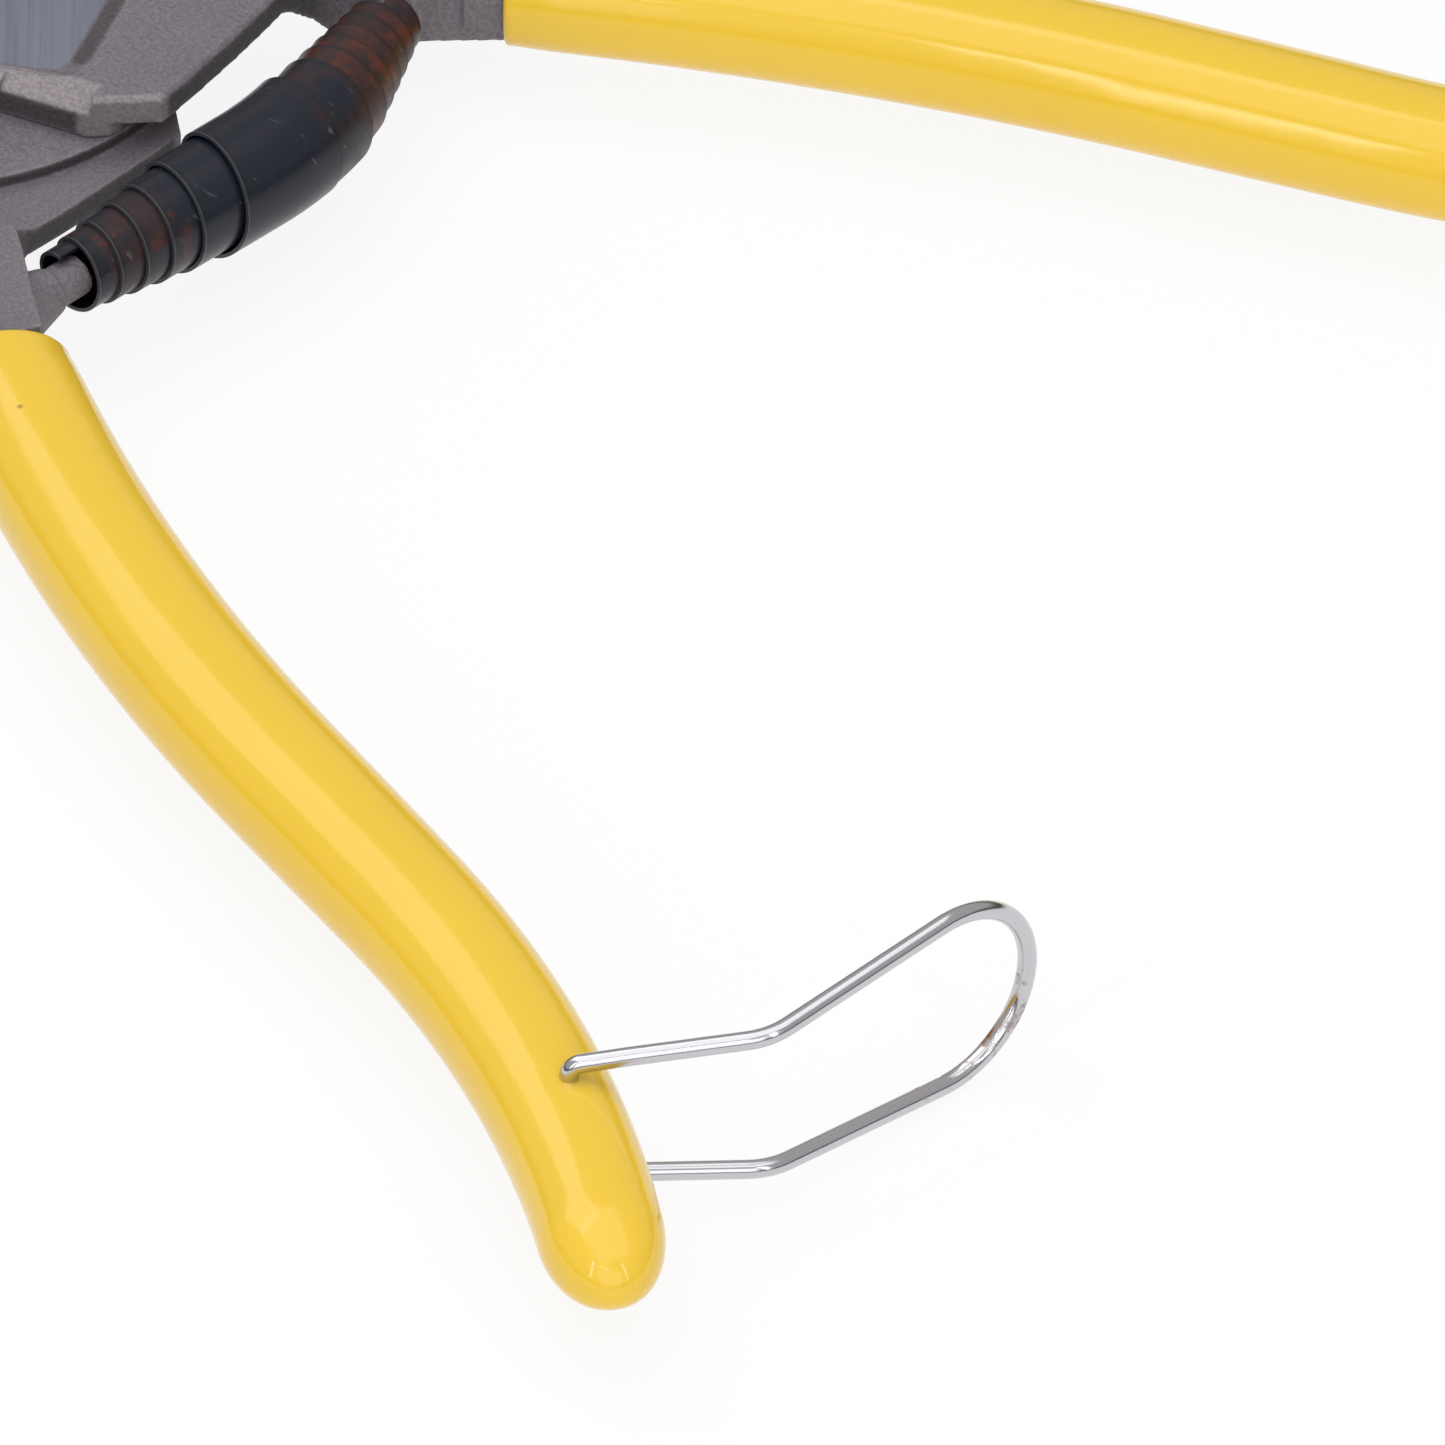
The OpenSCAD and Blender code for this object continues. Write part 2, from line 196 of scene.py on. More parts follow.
def addLights(values):
    world = bpy.data.worlds.new("studio")
    world.use_nodes = True
    tree = world.node_tree
    background = tree.nodes["Background"]
    coords = addNode(tree, "ShaderNodeTexCoord")
    height = splitAxes(tree, coords.outputs["Generated"])["Z"]
    feed(tree, background.inputs["Color"], rampNode(tree, height, values["sky"]))
    background.inputs["Strength"].default_value = values["skyStrength"]
    scene.world = world
    target = Vector(values["target"])
    for name, (place, size, power) in values["lamps"].items():
        data = bpy.data.lights.new(name, "AREA")
        data.shape = "RECTANGLE"
        data.size, data.size_y = size
        data.energy = power
        lamp = bpy.data.objects.new(name, data)
        scene.collection.objects.link(lamp)
        lamp.location = place
        lamp.rotation_euler = (Vector(place) - target).to_track_quat("Z", "Y").to_euler()


addLights(lightValues)
print("stage: camera and lights")

# small helpers for meshes


def newPiece(name, mesh, material=None):
    piece = bpy.data.objects.new(name, mesh)
    scene.collection.objects.link(piece)
    if material:
        piece.data.materials.clear()
        piece.data.materials.append(material)
    return piece


def loftMesh(name, rings, closeLoop=False):
    # rings: equal lists of points, joined side by side, with the ends closed or joined to each other
    count = len(rings[0])
    verts = [tuple(p) for ring in rings for p in ring]
    faces = []
    steps = len(rings) if closeLoop else len(rings) - 1
    for k in range(steps):
        a, b = k * count, ((k + 1) % len(rings)) * count
        for i in range(count):
            j = (i + 1) % count
            faces.append((a + i, a + j, b + j, b + i))
    if not closeLoop:
        faces.append(tuple(reversed(range(count))))
        faces.append(tuple((len(rings) - 1) * count + i for i in range(count)))
    mesh = bpy.data.meshes.new(name)
    mesh.from_pydata(verts, [], faces)
    tidyMesh(mesh)
    return mesh


def tidyMesh(mesh, merge=1e-7):
    shape = bmesh.new()
    shape.from_mesh(mesh)
    bmesh.ops.remove_doubles(shape, verts=shape.verts, dist=merge)
    bmesh.ops.recalc_face_normals(shape, faces=shape.faces)
    shape.to_mesh(mesh)
    shape.free()
    for face in mesh.polygons:
        face.use_smooth = True
    mesh.update()


def plainMesh(piece):
    # the evaluated shape as a plain mesh, with every modifier used up
    graph = bpy.context.evaluated_depsgraph_get()
    graph.update()
    mesh = bpy.data.meshes.new_from_object(piece.evaluated_get(graph))
    piece.modifiers.clear()
    old = piece.data
    piece.data = mesh
    bpy.data.meshes.remove(old)


def smooth01(x):
    x = min(1.0, max(0.0, x))
    return x * x * (3 - 2 * x)


def setCreases(mesh, degrees):
    # edges sharper than this stay crisp in the shading
    shape = bmesh.new()
    shape.from_mesh(mesh)
    limit = math.radians(degrees)
    for edge in shape.edges:
        edge.smooth = len(edge.link_faces) == 2 and edge.calc_face_angle(0) < limit
    shape.to_mesh(mesh)
    shape.free()


# shader groups


def newGroup(name, colours, numbers, output):
    # every group takes a position and gives a colour and one more value
    group = bpy.data.node_groups.new(name, "ShaderNodeTree")
    sockets = [("Position", "Vector", None)]
    sockets += [(label, "Color", (*value, 1)) for label, value in colours.items()]
    sockets += [(label, "Float", value) for label, value in numbers.items()]
    for label, kind, value in sockets:
        socket = group.interface.new_socket(label, in_out="INPUT", socket_type="NodeSocket" + kind)
        if value is not None:
            socket.default_value = value
    for label, kind in (("Colour", "Color"), (output, "Float")):
        group.interface.new_socket(label, in_out="OUTPUT", socket_type="NodeSocket" + kind)
    given = addNode(group, "NodeGroupInput").outputs
    return group, given, addNode(group, "NodeGroupOutput").inputs


def buildGrain():
    # sandblasted or cast skin: fine light and dark grains over slow cloudy patches
    numbers = {"Grain Scale": 2600.0, "Patch Scale": 140.0, "Contrast": 0.5}
    group, given, out = newGroup("blastedGrain", {"Colour": (0.2, 0.2, 0.2)}, numbers, "Height")
    grainShare, patchShare, middle = 0.75, 0.5, 0.62
    fine = noiseNode(group, given["Position"], given["Grain Scale"], 3.0, 0.7)
    patch = noiseNode(group, given["Position"], given["Patch Scale"], 4.0)
    sharp = rampNode(group, fine, [(0.34, 0.0), (0.66, 1.0)])
    both = mathNode(group, "ADD", mathNode(group, "MULTIPLY", sharp, grainShare),
                    mathNode(group, "MULTIPLY", patch, patchShare))
    swing = mathNode(group, "MULTIPLY", mathNode(group, "SUBTRACT", both, middle),
                     given["Contrast"])
    scaled = addNode(group, "ShaderNodeVectorMath", operation="SCALE")
    feed(group, scaled.inputs[0], given["Colour"])
    feed(group, scaled.inputs["Scale"], mathNode(group, "ADD", swing, 1.0))
    feed(group, out["Colour"], scaled.outputs[0])
    feed(group, out["Height"], both)
    return group


def buildRust():
    # patches of thin rust where Amount is high
    colours = {"Colour": (0.05, 0.05, 0.06), "Rust": (0.16, 0.05, 0.02)}
    group, given, out = newGroup("rustPatches", colours, {"Scale": 300.0, "Amount": 0.3}, "Mask")
    darkColour, darkShare = (0.035, 0.014, 0.010), 0.55
    reach, crispness, toneScale = 0.9, 6.0, 2.3
    patch = noiseNode(group, given["Position"], given["Scale"], 6.0, 0.62)
    edge = mathNode(group, "SUBTRACT", 1.0, given["Amount"])
    over = mathNode(group, "SUBTRACT", patch, mathNode(group, "MULTIPLY", edge, reach))
    mask = mathNode(group, "MULTIPLY", over, crispness, clamp=True)
    tone = noiseNode(group, given["Position"],
                     mathNode(group, "MULTIPLY", given["Scale"], toneScale), 3.0)
    dark = mixColour(group, darkShare, given["Rust"], darkColour)
    rust = mixColour(group, rampNode(group, tone, [(0.35, 0.0), (0.65, 1.0)]), dark,
                     given["Rust"])
    feed(group, out["Colour"], mixColour(group, mask, given["Colour"], rust))
    feed(group, out["Mask"], mask)
    return group


grainGroup = buildGrain()
rustGroup = buildRust()


def placeGroup(tree, group, values):
    node = addNode(tree, "ShaderNodeGroup", node_tree=group)
    for label, value in values.items():
        feed(tree, node.inputs[label], value)
    return node.outputs


def addRust(tree, position, colour, rust, scale, amount):
    values = {"Position": position, "Colour": colour, "Rust": rust, "Scale": scale, "Amount": amount}
    return placeGroup(tree, rustGroup, values)


def newMaterial(name, values):
    material = bpy.data.materials.new(name)
    material.use_nodes = True
    tree = material.node_tree
    shader = tree.nodes["Principled BSDF"].inputs
    for label, value in values.items():
        feed(tree, shader[label], value)
    coords = addNode(tree, "ShaderNodeTexCoord")
    return material, tree, shader, coords.outputs["Object"]


def blendTo(tree, shader, label, mask, usual, masked):
    # a socket of the shader that has one value and, under a mask, another
    feed(tree, shader[label], mathNode(tree, "MULTIPLY_ADD", mask, masked - usual, usual))


def addBump(tree, shader, height, strength, distance):
    bump = addNode(tree, "ShaderNodeBump")
    bump.inputs["Strength"].default_value = strength
    bump.inputs["Distance"].default_value = distance
    feed(tree, bump.inputs["Height"], height)
    feed(tree, shader["Normal"], bump.outputs[0])


# forged steel
forgedFinish = {
    "surface": {"Specular IOR Level": 0.35},
    "skin": (0.190, 0.170, 0.192),
    # the colour where a share made with the mesh is 1, laid on in this order: painted shade on the
    # walls and the slope, painted light on the corner facet and a painted highlight on the chamfered
    # rim
    "shares": {
        "wallPaintedShade": (0.075, 0.067, 0.076),
        "facetPaintedLight": (0.255, 0.230, 0.245),
        "slopePaintedShade": (0.095, 0.082, 0.090),
        "rimPaintedHighlight": (0.29, 0.26, 0.27),
    },
    "wear": 0.5,  # how far a worn edge takes the rim's colour
    "grain": {"Grain Scale": 2500.0, "Patch Scale": 110.0, "Contrast": 0.62},
    "roughness": (0.62, 0.42),  # of the skin and of the ground flat
    "metallic": (0.25, 0.55),
    "bump": (0.5, 0.1 * mm),
    # the ground flats: colour, z in mm, way of the grinding lines, waves a metre
    "ground": (0.225, 0.232, 0.285),
    "groundZ": {"lower": 3.0, "upper": 10.4},
    "groundReach": 0.12,
    "lineTurn": {"lower": -39.0, "upper": 39.0},
    "lineScale": (2600, 50, 50),
    "lineTones": [(0.3, 0.86), (0.7, 1.08)],
    "lineHeight": 0.2,
}


def forgedMaterial(name, half, values):
    material, tree, shader, position = newMaterial(name, values["surface"])

    def share(label):
        return addNode(tree, "ShaderNodeAttribute", attribute_name=label).outputs["Fac"]

    # painted shade makes the walls darker than the outer faces, and a painted highlight makes the
    # chamfered rim paler
    skin = values["skin"]
    for label, colour in values["shares"].items():
        skin = mixColour(tree, share(label), skin, colour)
    wear = mathNode(tree, "MULTIPLY", share("edgeWear"), values["wear"])
    skin = mixColour(tree, wear, skin, values["shares"]["rimPaintedHighlight"])
    grain = placeGroup(tree, grainGroup, {"Position": position, "Colour": skin, **values["grain"]})
    # the ground flat lies at one height and faces away from the lap
    near = mathNode(tree, "COMPARE", splitAxes(tree, position)["Z"], values["groundZ"][half] * mm,
                    values["groundReach"] * mm)
    mask = mathNode(tree, "MULTIPLY", near, share("flatShare"))
    lines = noiseNode(tree, mapped(tree, position, values["lineTurn"][half], values["lineScale"]), 1.0)
    ground = mixColour(tree, 1.0, values["ground"], rampNode(tree, lines, values["lineTones"]),
                       "MULTIPLY")
    feed(tree, shader["Base Color"], mixColour(tree, mask, grain["Colour"], ground))
    blendTo(tree, shader, "Roughness", mask, *values["roughness"])
    blendTo(tree, shader, "Metallic", mask, *values["metallic"])
    low = mathNode(tree, "MULTIPLY", grain["Height"], mathNode(tree, "SUBTRACT", 1.0, mask))
    high = mathNode(tree, "MULTIPLY", lines,
                    mathNode(tree, "MULTIPLY", mask, values["lineHeight"]))
    addBump(tree, shader, mathNode(tree, "ADD", low, high), *values["bump"])
    return material


# dipped vinyl
vinylFinish = {
    "surface": {
        "Roughness": 0.13,
        "Specular IOR Level": 0.42,
        "Coat Weight": 0.12,
        "Coat Roughness": 0.12,
    },
    "colour": (0.86, 0.565, 0.045),
    "deepColour": (0.79, 0.490, 0.036),
    "cloudScale": 45.0,
    "cloudShare": 0.22,
    # specks of dirt caught in the dip: place on the grips and size in mm
    "specks": (((-50.8, 45.3, 12.25), 0.38), ((-64.3, -43.6, 12.4), 0.7), ((-70.6, -49.2, 10.0), 0.6)),
    "speckColour": (0.25, 0.10, 0.02),
    "speckCore": 1.6,
    "speckShare": 0.75,
    "rippleScale": 95.0,
    "fineScale": 900.0,
    "fineShare": 0.06,
    "bump": (0.22, 0.5 * mm),
}


def vinylMaterial(values):
    material, tree, shader, position = newMaterial("dippedVinyl", values["surface"])
    cloud = rampNode(tree, noiseNode(tree, position, values["cloudScale"]), [(0.35, 0.0), (0.7, 1.0)])
    colour = mixColour(tree, mathNode(tree, "MULTIPLY", cloud, values["cloudShare"]),
                       values["colour"], values["deepColour"])
    for place, size in values["specks"]:
        away = distanceTo(tree, position, [x * mm for x in place])
        dot = mathNode(tree, "SUBTRACT", 1.0, mathNode(tree, "DIVIDE", away, size * mm), clamp=True)
        spot = mathNode(tree, "MULTIPLY", dot, values["speckCore"], clamp=True)
        colour = mixColour(tree, mathNode(tree, "MULTIPLY", spot, values["speckShare"]), colour,
                           values["speckColour"])
    feed(tree, shader["Base Color"], colour)
    ripple = noiseNode(tree, position, values["rippleScale"], 1.5)
    fine = noiseNode(tree, position, values["fineScale"])
    height = mathNode(tree, "ADD", ripple, mathNode(tree, "MULTIPLY", fine, values["fineShare"]))
    addBump(tree, shader, height, *values["bump"])
    return material


# blackened strip
stripFinish = {
    "surface": {"Specular IOR Level": 0.38},
    "colour": (0.0075, 0.0095, 0.0185),
    # rust gathers towards the upper half's peg and on the small turns at the other end
    "rustY": (0.001, -0.014),
    "rustAmount": (0.20, 0.62),
    "smallTurns": (0.0165, 0.0045),
    "smallTurnsMore": 0.32,
    # a dull brown bloom, with redder spots in it
    "bloom": (0.027, 0.0105, 0.0125),
    "bloomScale": 190.0,
    "spot": (0.100, 0.020, 0.009),
    "spotScale": 430.0,
    "spotLess": 0.12,
    "scratch": (0.13, 0.14, 0.16),
    "scratchTurn": 25,
    "scratchScale": (90, 1500, 700),
    "scratchTones": [(0.66, 0.0), (0.73, 1.0)],
    "scratchShare": 0.45,
    # a painted highlight runs along the cut edge, over a thin painted shadow line; both by the share
    # across the strip
    "line": (0.004, 0.004, 0.005),
    "shadowLineFrom": 0.458,
    "shadowLineShare": 0.55,
    "lip": (0.045, 0.047, 0.055),
    "lipHighlightFrom": 0.485,
    "lipHighlightFade": (90.0, 0.75),
    "roughness": (0.30, 0.46),  # bare and rusted
    "bump": (0.12, 0.1 * mm),
}


def stripMaterial(values):
    material, tree, shader, position = newMaterial("blackenedStrip", values["surface"])
    y = splitAxes(tree, position)["Y"]
    small = mathNode(tree, "COMPARE", y, *values["smallTurns"])
    amount = mathNode(tree, "ADD", rangeNode(tree, y, values["rustY"], values["rustAmount"]),
                      mathNode(tree, "MULTIPLY", small, values["smallTurnsMore"]))
    bloom = addRust(tree, position, values["colour"], values["bloom"], values["bloomScale"], amount)
    rust = addRust(tree, position, bloom["Colour"], values["spot"], values["spotScale"],
                   mathNode(tree, "SUBTRACT", amount, values["spotLess"]))
    way = mapped(tree, position, values["scratchTurn"], values["scratchScale"])
    scratch = noiseNode(tree, way, 1.0, 4.0)
    marks = rampNode(tree, scratch, values["scratchTones"])
    colour = mixColour(tree, mathNode(tree, "MULTIPLY", marks, values["scratchShare"]),
                       rust["Colour"], values["scratch"])
    across = addNode(tree, "ShaderNodeAttribute", attribute_name="acrossShare").outputs["Fac"]
    rim = mathNode(tree, "ABSOLUTE", mathNode(tree, "SUBTRACT", across, 0.5))
    # painted shadow: a thin dark line just inside each edge of the strip
    line = mathNode(tree, "GREATER_THAN", rim, values["shadowLineFrom"])
    colour = mixColour(tree, mathNode(tree, "MULTIPLY", line, values["shadowLineShare"]), colour,
                       values["line"])
    # painted highlight on the strip's edge, fading out towards the rusted end
    lip = mathNode(tree, "GREATER_THAN", rim, values["lipHighlightFrom"])
    highlightFade = mathNode(tree, "MULTIPLY_ADD", y, *values["lipHighlightFade"], clamp=True)
    colour = mixColour(tree, mathNode(tree, "MULTIPLY", lip, highlightFade), colour, values["lip"])
    feed(tree, shader["Base Color"], colour)
    blendTo(tree, shader, "Roughness", bloom["Mask"], *values["roughness"])
    addBump(tree, shader, scratch, *values["bump"])
    return material


# plated wire
wireFinish = {
    "colour": (0.58, 0.575, 0.60),
    "rust": (0.27, 0.115, 0.035),
    "rustScale": 420.0,
    "rustReach": (0.0, 0.016),  # metres from the rusted place
    "rustAmount": (0.56, 0.20),
    "roughness": (0.16, 0.61),  # bright and rusted
    "metallic": (1.0, 0.2),
    "drawScale": 700.0,
    "bump": (0.08, 0.1 * mm),
}


def wireMaterial(rustPlace, values):
    material, tree, shader, position = newMaterial("platedWire", {})
    away = distanceTo(tree, position, rustPlace)
    rust = addRust(tree, position, values["colour"], values["rust"], values["rustScale"],
                   rangeNode(tree, away, values["rustReach"], values["rustAmount"]))
    feed(tree, shader["Base Color"], rust["Colour"])
    blendTo(tree, shader, "Roughness", rust["Mask"], *values["roughness"])
    blendTo(tree, shader, "Metallic", rust["Mask"], *values["metallic"])
    addBump(tree, shader, noiseNode(tree, position, values["drawScale"]), *values["bump"])
    return material


# bolt, nut and washer
fastenerFinish = {
    "grain": {"Grain Scale": 1500.0, "Patch Scale": 300.0, "Contrast": 0.4},
    "metallic": 0.8,
    "bump": (0.2, 0.06 * mm),
}


def fastenerMaterial(name, colour, roughness, values):
    surface = {"Metallic": values["metallic"], "Roughness": roughness}
    material, tree, shader, position = newMaterial(name, surface)
    grain = placeGroup(tree, grainGroup,
                       {"Position": position, "Colour": colour, **values["grain"]})
    feed(tree, shader["Base Color"], grain["Colour"])
    addBump(tree, shader, grain["Height"], *values["bump"])
    return material


lowerForged = forgedMaterial("forgedSteelLower", "lower", forgedFinish)
upperForged = forgedMaterial("forgedSteelUpper", "upper", forgedFinish)
vinyl = vinylMaterial(vinylFinish)
strip = stripMaterial(stripFinish)
fastener = fastenerMaterial("fastenerSteel", (0.11, 0.11, 0.12), 0.42, fastenerFinish)
washerSteel = fastenerMaterial("washerSteel", (0.42, 0.42, 0.43), 0.35, fastenerFinish)
print("stage: materials")

# floor
floorValues = {
    "size": 6.0,  # metres
    "gap": 0.05 * mm,
    "surface": {"Roughness": 0.9, "Base Color": (0.92, 0.92, 0.92), "Specular IOR Level": 0.0},
    "glow": 0.88,  # share of plain white that camera rays see
}


def floorMaterial(values):
    # camera rays see it paler than it is lit, and it keeps the shadow
    material, tree, _, _ = newMaterial("paleFloor", values["surface"])
    glow = addNode(tree, "ShaderNodeEmission")
    glow.inputs["Color"].default_value = (1, 1, 1, 1)
    rays = addNode(tree, "ShaderNodeLightPath").outputs
    seen = mathNode(tree, "MAXIMUM", rays["Is Camera Ray"], rays["Is Glossy Ray"])
    mix = addNode(tree, "ShaderNodeMixShader")
    feed(tree, mix.inputs[0], mathNode(tree, "MULTIPLY", seen, values["glow"]))
    feed(tree, mix.inputs[1], tree.nodes["Principled BSDF"].outputs[0])
    feed(tree, mix.inputs[2], glow.outputs[0])
    feed(tree, tree.nodes["Material Output"].inputs["Surface"], mix.outputs[0])
    return material


def addFloor(values):
    half = values["size"] / 2
    z = cadBox[0][2] - values["gap"]
    mesh = bpy.data.meshes.new("floor")
    mesh.from_pydata([(-half, -half, z), (half, -half, z), (half, half, z), (-half, half, z)],
                     [], [(0, 1, 2, 3)])
    newPiece("floor", mesh, floorMaterial(values))


addFloor(floorValues)

# the shut tool's own frame: handles towards -X, mirrored for the upper half
toolValues = {"lapZ": 6.7 * mm, "swing": 27.0}


def placeHalf(points, half):
    # points in mm of a half drawn shut, its lap at height 0, swung open into the frame in metres
    turn = math.radians(toolValues["swing"]) * (1 if half == "upper" else -1)
    flip = -1 if half == "upper" else 1
    c, s = math.cos(turn), math.sin(turn)
    out = []
    for x, y, z in points:
        y, z = flip * y, flip * z
        out.append(((x * c - y * s) * mm, (x * s + y * c) * mm, z * mm + toolValues["lapZ"]))
    return out


# dipped grips
gripValues = {
    "from": 5.5,  # the mouth, along the handle from the start of its path
    "length": 145.8,
    "width": 13.9,
    "ratio": 0.86,  # of thickness to width
    "vinyl": 1.5,
    "slack": 0.02,  # by which the bore is wider than that wall leaves it
    "lip": 0.6,
    "lipEnd": 0.9,  # where the outside starts, past the mouth
    "lipThin": 0.10,
    "lipReach": 5.0,
    "dome": 9.0,
    "slantReach": 14.0,
    "late": {"lower": 1.1, "upper": 0.8},  # how far past "from" the mouth lies
    "slant": {"lower": 1.3, "upper": 0.2},
    "cover": 0.35,  # least vinyl over the forging inside the mouth
    "coverFrom": 0.15,  # and how far past the mouth it starts
    "sides": 72,
    "square": 0.92,  # power of the outside's section, 1 for an ellipse
    "tangSquare": 0.7,
    "steps": {"inside": 23, "lip": 10, "outside": 170, "dome": 25},
    "paths": {
        "lower": ((-48.0, 13.8, 174.4), ((14, 0), (56, 14.0), (20.7, 0), (52, -22), (20, 0))),
        "upper": ((-48.0, 13.5, 177.8), ((14, 0), (56, 10.6), (20.7, 0), (52, -22), (20, 0))),
    },
    "pinAt": 125.8,
    "pinInset": 1.1,
    "dimple": {"depth": 0.45, "spread": 1.35, "reach": 3.0},
}


def along(pose, length, turn, distance):
    x, y, heading = pose
    if turn == 0:
        return (x + distance * math.cos(heading), y + distance * math.sin(heading), heading)
    radius = length / math.radians(turn)
    new = heading + math.radians(turn) * distance / length
    return (
        x + radius * (math.sin(new) - math.sin(heading)),
        y - radius * (math.cos(new) - math.cos(heading)),
        new,
    )


def poseAt(path, distance):
    (x, y, heading), legs = path
    pose = (x, y, math.radians(heading))
    for length, turn in legs:
        if distance <= length:
            return along(pose, length, turn, distance)
        pose = along(pose, length, turn, length)
        distance -= length
    return along(pose, 1, 0, distance)


def gripHalfWidth(distance):
    u = (distance - gripValues["from"]) / gripValues["length"]
    return gripValues["width"] / 2 * (0.95 + 0.23 * u - 0.36 * u * u)


def addGrip(half, node):
    values = gripValues
    path = values["paths"][half]
    start, end = values["from"], values["from"] + values["length"]
    rings = []

    def add(distance, shrink=1.0, inset=0.0, square=values["square"]):
        x, y, heading = poseAt(path, distance)
        wide = gripHalfWidth(distance)
        across, thick = wide * shrink - inset, wide * values["ratio"] * shrink - inset
        # the dip line is a little slanted, so the mouth is drawn along the handle on one side
        fade = 1 - smooth01((distance - start) / values["slantReach"])
        section = []
        for i in range(values["sides"]):
            angle = 2 * math.pi * (i + 0.5) / values["sides"]
            c, s = math.cos(angle), math.sin(angle)
            u = across * math.copysign(abs(c) ** square, c)
            v = thick * math.copysign(abs(s) ** square, s)
            step = fade * (values["late"][half] + values["slant"][half] * u / wide)
            section.append((x - u * math.sin(heading) + step * math.cos(heading),
                            y + u * math.cos(heading) + step * math.sin(heading), v))
        rings.append(placeHalf(section, half))

    steps, tang = values["steps"], values["tangSquare"]
    deep = end - values["dome"]
    # inside, along the tang, from the deep end to the mouth
    inner = start + values["lip"]
    for k in range(steps["inside"] + 1):
        add(deep + (inner - deep) * k / steps["inside"], 1.0, values["vinyl"] - values["slack"], tang)
    # over the rounded lip
    bead = values["vinyl"] / 2
    for k in range(1, steps["lip"]):
        share = k / steps["lip"]
        turn = math.pi * (0.5 - share)
        add(inner - values["lip"] * math.cos(turn), 1.0,
            bead + bead * math.sin(turn) * 0.97 + 2 * values["slack"],
            tang + (values["square"] - tang) * share)
    # along the outside, where the vinyl thins towards the lip
    outer = start + values["lipEnd"]
    for k in range(steps["outside"]):
        distance = outer + (deep - outer) * k / steps["outside"]
        lipShare = smooth01((distance - start) / values["lipReach"])
        add(distance, 1.0, values["lipThin"] * (1 - lipShare))
    # the domed end, its last ring all but closed
    for k in range(steps["dome"] + 1):
        turn = math.pi / 2 * k / (steps["dome"] + 0.25)
        add(deep + values["dome"] * math.sin(turn), math.cos(turn))
    mesh = loftMesh(node + "Skin", rings)
    if half == "lower":
        dimpleGrip(mesh)
    piece = newPiece(node + "Vinyl", mesh, vinyl)
    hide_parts(node)
    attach(piece, half)


def pinPlace():
    x, y, heading = poseAt(gripValues["paths"]["lower"], gripValues["pinAt"])
    inset = gripValues["pinInset"]
    return (x - inset * math.sin(heading), y + inset * math.cos(heading))


def dimpleGrip(mesh):
    # the vinyl is drawn in a little where the wire enters it
    dimple = gripValues["dimple"]
    x, y = pinPlace()
    px, py, _ = placeHalf([(x, y, 0)], "lower")[0]
    for vertex in mesh.vertices:
        away = math.hypot(vertex.co.x - px, vertex.co.y - py) / mm
        if away < dimple["reach"]:
            draw = dimple["depth"] * math.exp(-(away / dimple["spread"]) ** 2) * mm
            vertex.co.z -= math.copysign(draw, vertex.co.z - toolValues["lapZ"])


addGrip("lower", "lower_grip")
addGrip("upper", "upper_grip")
print("stage: grips")

# forged halves: rounded by a fine remesh, with the tang kept plain inside the grip
forgedValues = {
    "voxel": 0.20 * mm,
    "smoothing": 3,
    "mostTriangles": 180000,
    "tangCut": 12.0,  # where the remeshed head ends, along the handle
    # outline of the chamfered leading rim and of the slope beside the ground flat, shut, mm
    "rim": ((-4, -15.4), (-12.2, -15.5), (-20.6, -17.4)),
    "rimReach": 2.9,
    "corner": ((-20.6, -17.4), (-27.4, -15.5)),
    "cornerReach": 1.1,
    # from here along the handle, the plate's upright walls get the painted shade
    "wallsFrom": -40.0,  # the walls of the plate, not of the shank, are dark
    "slope": ((-20.2, 30), (-20.2, -2), (-18.9, -11.0)),
    "slopeReach": 1.25,
}


def readVectors(items, label):
    values = np.empty(3 * len(items))
    items.foreach_get(label, values)
    return values.reshape(-1, 3)


def shutPoints(points, half):
    # the way back from placeHalf, for an array of points in metres, into mm
    turn = math.radians(toolValues["swing"]) * (-1 if half == "upper" else 1)
    flip = -1 if half == "upper" else 1
    c, s = math.cos(turn), math.sin(turn)
    x = points[:, 0] * c - points[:, 1] * s
    y = (points[:, 0] * s + points[:, 1] * c) * flip
    return x / mm, y / mm, (points[:, 2] - toolValues["lapZ"]) * flip / mm


def awayFromLine(x, y, line):
    best = np.full(len(x), 1e9)
    for (ax, ay), (bx, by) in zip(line, line[1:]):
        dx, dy = bx - ax, by - ay
        t = np.clip(((x - ax) * dx + (y - ay) * dy) / (dx * dx + dy * dy), 0, 1)
        best = np.minimum(best, np.hypot(x - ax - t * dx, y - ay - t * dy))
    return best


